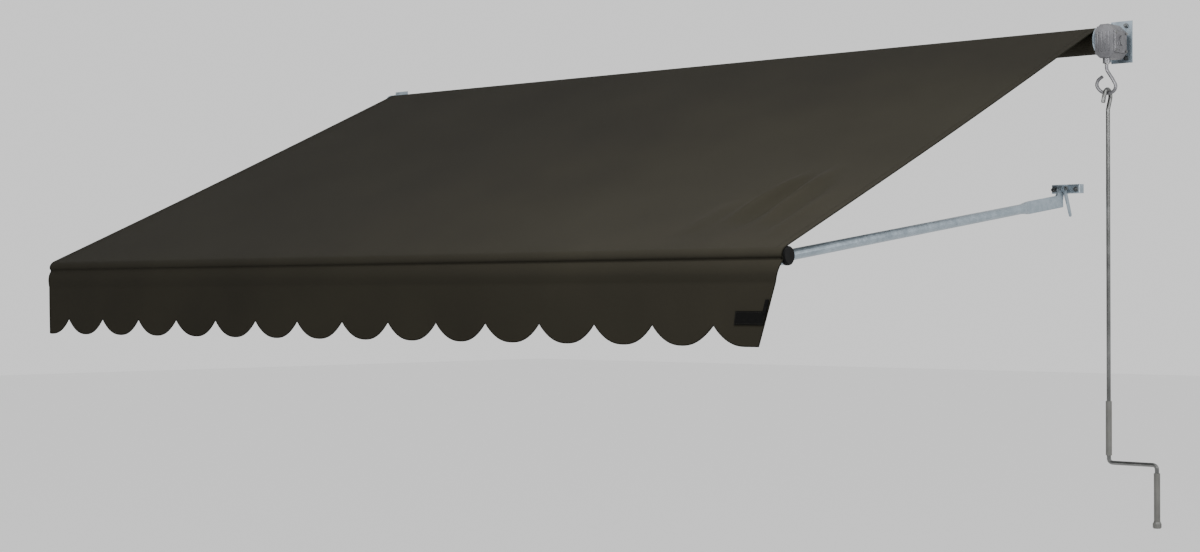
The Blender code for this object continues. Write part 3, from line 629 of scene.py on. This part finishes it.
class AWNING_OT_valance(bpy.types.Operator):
    """Build the scalloped valance that hangs from the front bar's slot"""
    bl_idname = "awning.valance"
    bl_label = "Valance"

    def execute(self, context):
        cloth, flap = context.scene.awning_cloth, context.scene.awning_flap
        cover, tape = cloth_materials(cloth)
        xs = flap_columns(flap)
        top = slot_profile()
        lengths = path_lengths(top)
        steps = 26
        rows, uvs = [], []
        for spot, length in zip(top, lengths):
            rows.append([Vector((slanted(x, spot.y, flap), spot.x, spot.y)) for x in xs])
            uvs.append([(x - LEFT, -length) for x in xs])
        start = top[-1]
        for i in range(1, steps + 1):
            t = i / steps
            row, row_uv = [], []
            for x in xs:
                z = start.y + (scallop_foot(x, flap) - start.y) * t
                row.append(hanging_point(x, z, t, start, flap))
                row_uv.append((x - LEFT, -lengths[-1] - (start.y - z)))
            rows.append(row)
            uvs.append(row_uv)
        sheet = cloth_object("scalloped_valance", rows, uvs, [cover], cloth.thickness)
        edge = [p + Vector((0, 0.0004, 0)) for p in rows[-1]]
        ends = [[row[0] for row in rows[4:]], [row[-1] for row in rows[4:]]]
        piping = edge_curve("scallop_piping", edge, tape, 0.0015)
        sides = [edge_curve("valance_end_" + label, points, tape, 0.0014)
                 for label, points in zip(("left", "right"), ends)]
        for obj in [sheet, piping] + sides:
            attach(obj, "bar")
        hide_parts("valance")
        return {"FINISHED"}


class AWNING_OT_collars(bpy.types.Operator):
    """Close the bar's ends with a moulded collar between the cloth and each end plug"""
    bl_idname = "awning.collars"
    bl_label = "Bar end collars"

    def execute(self, context):
        rubber = moulded_plastic("black_rubber_collar", "#050505", 0.55, 0.9, 0.05)
        under_cloth = 0.006
        for side, inner, outer in (("right", RIGHT - under_cloth, BAR_HIGH.x),
                                   ("left", LEFT + under_cloth, BAR_LOW.x)):
            bpy.ops.object.select_all(action="DESELECT")
            bpy.ops.mesh.primitive_cylinder_add(
                vertices=64, radius=BAR_R + 0.0002, depth=abs(outer - inner), end_fill_type="NOTHING",
                location=((inner + outer) / 2, BAR.x, BAR.y), rotation=(0, math.pi / 2, 0))
            collar = context.active_object
            collar.name = "bar_collar_" + side
            wall = collar.modifiers.new("wall", "SOLIDIFY")
            wall.thickness = 0.0008
            wall.offset = 1
            bpy.ops.object.transform_apply(location=True, rotation=True, scale=True)
            apply_modifiers(collar)
            collar.select_set(True)
            bpy.ops.object.shade_smooth_by_angle(angle=math.radians(40))
            collar.select_set(False)
            collar.data.materials.append(rubber)
            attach(collar, "bar")
        return {"FINISHED"}


class AWNING_OT_patch(bpy.types.Operator):
    """Sew the plain black strap patch on the valance near its right end"""
    bl_idname = "awning.patch"
    bl_label = "Strap patch"

    def execute(self, context):
        flap = context.scene.awning_flap
        webbing = woven_webbing("black_polyester_webbing", "#060606")
        outline = {
            "strap_patch": (PATCH_RIGHT - PATCH_WIDTH, PATCH_RIGHT, PATCH_LOW, PATCH_HIGH, 26, 8, 0.0022),
            "strap_tab": (PATCH_RIGHT - 0.014, PATCH_RIGHT - 0.001, PATCH_HIGH - 0.006,
                          PATCH_HIGH + 0.028, 4, 8, 0.0034),
        }
        for name, (x0, x1, z0, z1, across, up, lift) in outline.items():
            xs = [x0 + (x1 - x0) * i / across for i in range(across + 1)]
            heights = [z1 + (z0 - z1) * i / up for i in range(up + 1)]
            rows = [[on_flap(x, z, lift, flap) for x in xs] for z in heights]
            uvs = [[(x, z) for x in xs] for z in heights]
            patch = cloth_object(name, rows, uvs, [webbing], 0.0016)
            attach(patch, "bar")
        return {"FINISHED"}


class AWNING_OT_stitches(bpy.types.Operator):
    """Run lockstitches along the side hems, above the bar and round the strap patch"""
    bl_idname = "awning.stitches"
    bl_label = "Stitching"

    def execute(self, context):
        cloth, flap = context.scene.awning_cloth, context.scene.awning_flap
        thread = moulded_plastic("polyester_sewing_thread", "#1B1A17", 0.6, 0.8, 0.1)
        reach = run_length()
        over = Vector((0, -math.sin(LEAN), math.cos(LEAN))) * 0.0004
        for side, edge in (("right", RIGHT - cloth.hem), ("left", LEFT + cloth.hem)):
            long_run = [cover_point(edge, SEAM + (reach - SEAM) * i / 150, cloth) + over
                        for i in range(151)]
            hem = stitches("hem_stitches_" + side, long_run, 0.010, thread)
            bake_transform(hem)
            short_run = [cover_point(edge, SEAM * (1 - i / 30), cloth) + over for i in range(31)]
            hem = stitches("front_hem_stitches_" + side, short_run, 0.010, thread)
            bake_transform(hem)
        x0, x1 = PATCH_RIGHT - PATCH_WIDTH + PATCH_MARGIN, PATCH_RIGHT - PATCH_MARGIN
        z0, z1 = PATCH_LOW + PATCH_MARGIN, PATCH_HIGH - PATCH_MARGIN
        corners = [(x0, z1), (x1, z1), (x1, z0), (x0, z0), (x0, z1)]
        path = []
        for (xa, za), (xb, zb) in zip(corners, corners[1:]):
            path += [(xa + (xb - xa) * i / 12, za + (zb - za) * i / 12) for i in range(12)]
        path.append(corners[-1])
        run = [on_flap(x, z, 0.0024, flap) for x, z in path]
        patch = stitches("patch_stitches", run, 0.006, thread)
        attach(patch, "bar")
        return {"FINISHED"}


def stitches(name, path, pitch, mat):
    """Short raised stitches, 60 per cent thread and 40 per cent gap, along a line of points."""
    bm = bmesh.new()
    travelled, next_start = 0.0, 0.0
    for a, b in zip(path, path[1:]):
        length = (b - a).length
        way = (b - a) / length
        while next_start < travelled + length:
            begin = a + way * (next_start - travelled)
            middle = begin + way * pitch * 0.3
            turn = way.to_track_quat("X", "Z").to_matrix().to_4x4()
            made = bmesh.ops.create_icosphere(bm, subdivisions=1, radius=1.0)
            size = Matrix.Diagonal((pitch * 0.3, 0.0006, 0.0005, 1))
            shape = Matrix.Translation(middle) @ turn @ size
            bmesh.ops.transform(bm, matrix=shape, verts=made["verts"])
            next_start += pitch
        travelled += length
    for face in bm.faces:
        face.smooth = True
    mesh = bpy.data.meshes.new(name)
    bm.to_mesh(mesh)
    bm.free()
    mesh.materials.append(mat)
    obj = bpy.data.objects.new(name, mesh)
    bpy.context.scene.collection.objects.link(obj)
    return obj


class AWNING_OT_gearbox(bpy.types.Operator):
    """Add the casting's stiffening ribs to the gearbox"""
    bl_idname = "awning.gearbox"
    bl_label = "Gearbox ribs"

    def execute(self, context):
        low, high = (Vector(corner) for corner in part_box("gearbox_housing"))
        cover_low, cover_high = (Vector(corner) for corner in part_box("gearbox_cover"))
        zinc = bpy.data.materials["die_cast_zinc"]
        rib_top, rib_foot = high.z - 0.022, high.z - 0.080
        ribs = [self.rib("front_rib", (x, low.y - 0.0012, (rib_top + rib_foot) / 2),
                         (0.0034, 0.0028, rib_top - rib_foot), "Y")
                for x in (-0.020, -0.008, 0.004, 0.016)]
        ribs += [self.rib("cover_rib", (cover_high.x - 0.0028, y, -0.021), (0.0026, 0.0030, 0.026), "X")
                 for y in (cover_low.y + 0.016, cover_low.y + 0.026)]
        bpy.ops.object.select_all(action="DESELECT")
        for rib in ribs:
            rib.select_set(True)
        bpy.context.view_layer.objects.active = ribs[0]
        bpy.ops.object.join()
        joined = bpy.context.active_object
        joined.name = "gearbox_ribs"
        joined.data.materials.clear()
        joined.data.materials.append(zinc)
        bpy.ops.object.transform_apply(location=True, rotation=True, scale=True)
        joined.select_set(False)
        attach(joined, "wall_frame")
        return {"FINISHED"}

    @staticmethod
    def rib(name, centre, size, proud):
        """A bar with a narrower crown and softened edges, standing proud along one axis."""
        bpy.ops.object.select_all(action="DESELECT")
        bpy.ops.mesh.primitive_cube_add(size=1, location=centre, scale=size)
        rib = bpy.context.active_object
        rib.name = name
        bpy.ops.object.transform_apply(location=True, rotation=True, scale=True)
        outward = Vector((0, -1, 0)) if proud == "Y" else Vector((1, 0, 0))
        bpy.ops.object.mode_set(mode="EDIT")
        mesh = bmesh.from_edit_mesh(rib.data)
        for face in mesh.faces:
            face.select_set(face.normal.dot(outward) > 0.9)
        bmesh.update_edit_mesh(rib.data)
        bpy.ops.mesh.inset(thickness=0.0006, depth=0.0004)
        bpy.ops.object.mode_set(mode="OBJECT")
        edge = rib.modifiers.new("edge", "BEVEL")
        edge.width = 0.0004
        edge.segments = 2
        edge.limit_method = "ANGLE"
        apply_modifiers(rib)
        rib.select_set(True)
        bpy.ops.object.shade_smooth_by_angle(angle=math.radians(35))
        rib.select_set(False)
        return rib


class AWNING_OT_metal(bpy.types.Operator):
    """Give every frame piece its real finish"""
    bl_idname = "awning.metal"
    bl_label = "Metal and plastic finishes"

    def execute(self, context):
        cloth = context.scene.awning_cloth
        finishes = {
            "galvanised": hot_dip_galvanised("hot_dip_galvanised_steel", "#929EA7", "#78848D"),
            "casting": die_cast_zinc("die_cast_zinc", "#717174", "#555558"),
            "dark_steel": plated_rod("zinc_plated_fastener_steel", "#7C7F80", "#56595A", 0.40),
            "rod": plated_rod("zinc_plated_rod", "#7D7E7D", "#5C5D5C", 0.26),
            "black_plastic": moulded_plastic("black_polypropylene", "#050505", 0.42, 1.2, 0.06),
            "grip": moulded_plastic("grey_grip_plastic", "#4A4A47", 0.50, 1.6),
            "canvas": solution_dyed_acrylic("solution_dyed_acrylic_roll", cloth.colour, cloth.shade,
                                            cloth.thread, on_roll=True),
        }
        slots = {part["node"]: part["material_slot"] for part in frame["record"]["subparts"]}
        for name, obj in frame["nodes"].items():
            obj.data.materials.clear()
            obj.data.materials.append(finishes[slots[name]])
        return {"FINISHED"}


class AWNING_OT_stage(bpy.types.Operator):
    """Lay the floor, hang the studio lights and set the camera"""
    bl_idname = "awning.stage"
    bl_label = "Stage"

    def execute(self, context):
        bpy.ops.object.select_all(action="DESELECT")
        bpy.ops.mesh.primitive_plane_add(size=80, location=(0, 0, -2.55))
        floor = context.active_object
        floor.name = "studio_floor"
        mat, _, _ = new_material("pale_floor", {"Roughness": 0.9, "Base Color": (0.90, 0.90, 0.90, 1)})
        floor.data.materials.append(mat)
        world = bpy.data.worlds.new("soft_studio")
        world.use_nodes = True
        world.node_tree.nodes["Background"].inputs["Color"].default_value = (1, 1, 1, 1)
        world.node_tree.nodes["Background"].inputs["Strength"].default_value = 1.0
        context.scene.world = world
        middle = Vector(((LEFT + RIGHT) / 2, BAR.x / 2, BAR.y / 2))
        arm = Vector((PIVOT.x, BAR.x / 2, BAR.y * 0.85))
        self.area_light("key_softbox", (0.35, -2.6, 0.9), 108, 0.9, middle)
        self.area_light("arm_softbox", (1.6, -0.4, -0.05), 26, 0.5, arm)
        self.area_light("fill_softbox", (-5.0, -5.0, 2.0), 40, 3.0, middle)
        self.area_light("rim_softbox", (2.6, -0.4, 2.4), 40, 1.5, middle)
        camera_data = bpy.data.cameras.new("camera")
        camera_data.sensor_width = 36
        camera_data.lens = 61.92
        camera_data.clip_end = 200
        camera = bpy.data.objects.new("camera", camera_data)
        camera.location = (2.892, -5.583, -0.760)
        camera.rotation_euler = (math.radians(90.653), 0, math.radians(41.6))
        context.scene.collection.objects.link(camera)
        context.scene.camera = camera
        return {"FINISHED"}

    @staticmethod
    def area_light(name, location, power, size, aim):
        data = bpy.data.lights.new(name, "AREA")
        data.energy = power
        data.size = size
        light = bpy.data.objects.new(name, data)
        light.location = location
        light.rotation_euler = (aim - Vector(location)).to_track_quat("-Z", "Y").to_euler()
        bpy.context.scene.collection.objects.link(light)


class AWNING_PT_panel(bpy.types.Panel):
    """The awning's pieces"""
    bl_label = "Canvas Awning"
    bl_space_type = "VIEW_3D"
    bl_region_type = "UI"
    bl_category = "Awning"

    def draw(self, context):
        layout = self.layout
        for group in (context.scene.awning_cloth, context.scene.awning_flap):
            for key in group.bl_rna.properties.keys():
                if key not in ("rna_type", "name"):
                    layout.prop(group, key)
        for operator in OPERATORS:
            layout.operator(operator.bl_idname)


OPERATORS = (AWNING_OT_metal, AWNING_OT_cover, AWNING_OT_valance, AWNING_OT_patch,
             AWNING_OT_collars, AWNING_OT_stitches, AWNING_OT_gearbox, AWNING_OT_stage)
CLASSES = (AwningCloth, AwningFlap) + OPERATORS + (AWNING_PT_panel,)


def register():
    for cls in CLASSES:
        bpy.utils.register_class(cls)
    bpy.types.Scene.awning_cloth = PointerProperty(type=AwningCloth)
    bpy.types.Scene.awning_flap = PointerProperty(type=AwningFlap)


def unregister():
    del bpy.types.Scene.awning_flap
    del bpy.types.Scene.awning_cloth
    for cls in reversed(CLASSES):
        bpy.utils.unregister_class(cls)


def main():
    register()
    bpy.ops.awning.metal()
    bpy.ops.awning.cover()
    bpy.ops.awning.valance()
    bpy.ops.awning.patch()
    bpy.ops.awning.collars()
    bpy.ops.awning.stitches()
    bpy.ops.awning.gearbox()
    bpy.ops.awning.stage()
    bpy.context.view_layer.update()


if __name__ == "__main__":
    main()
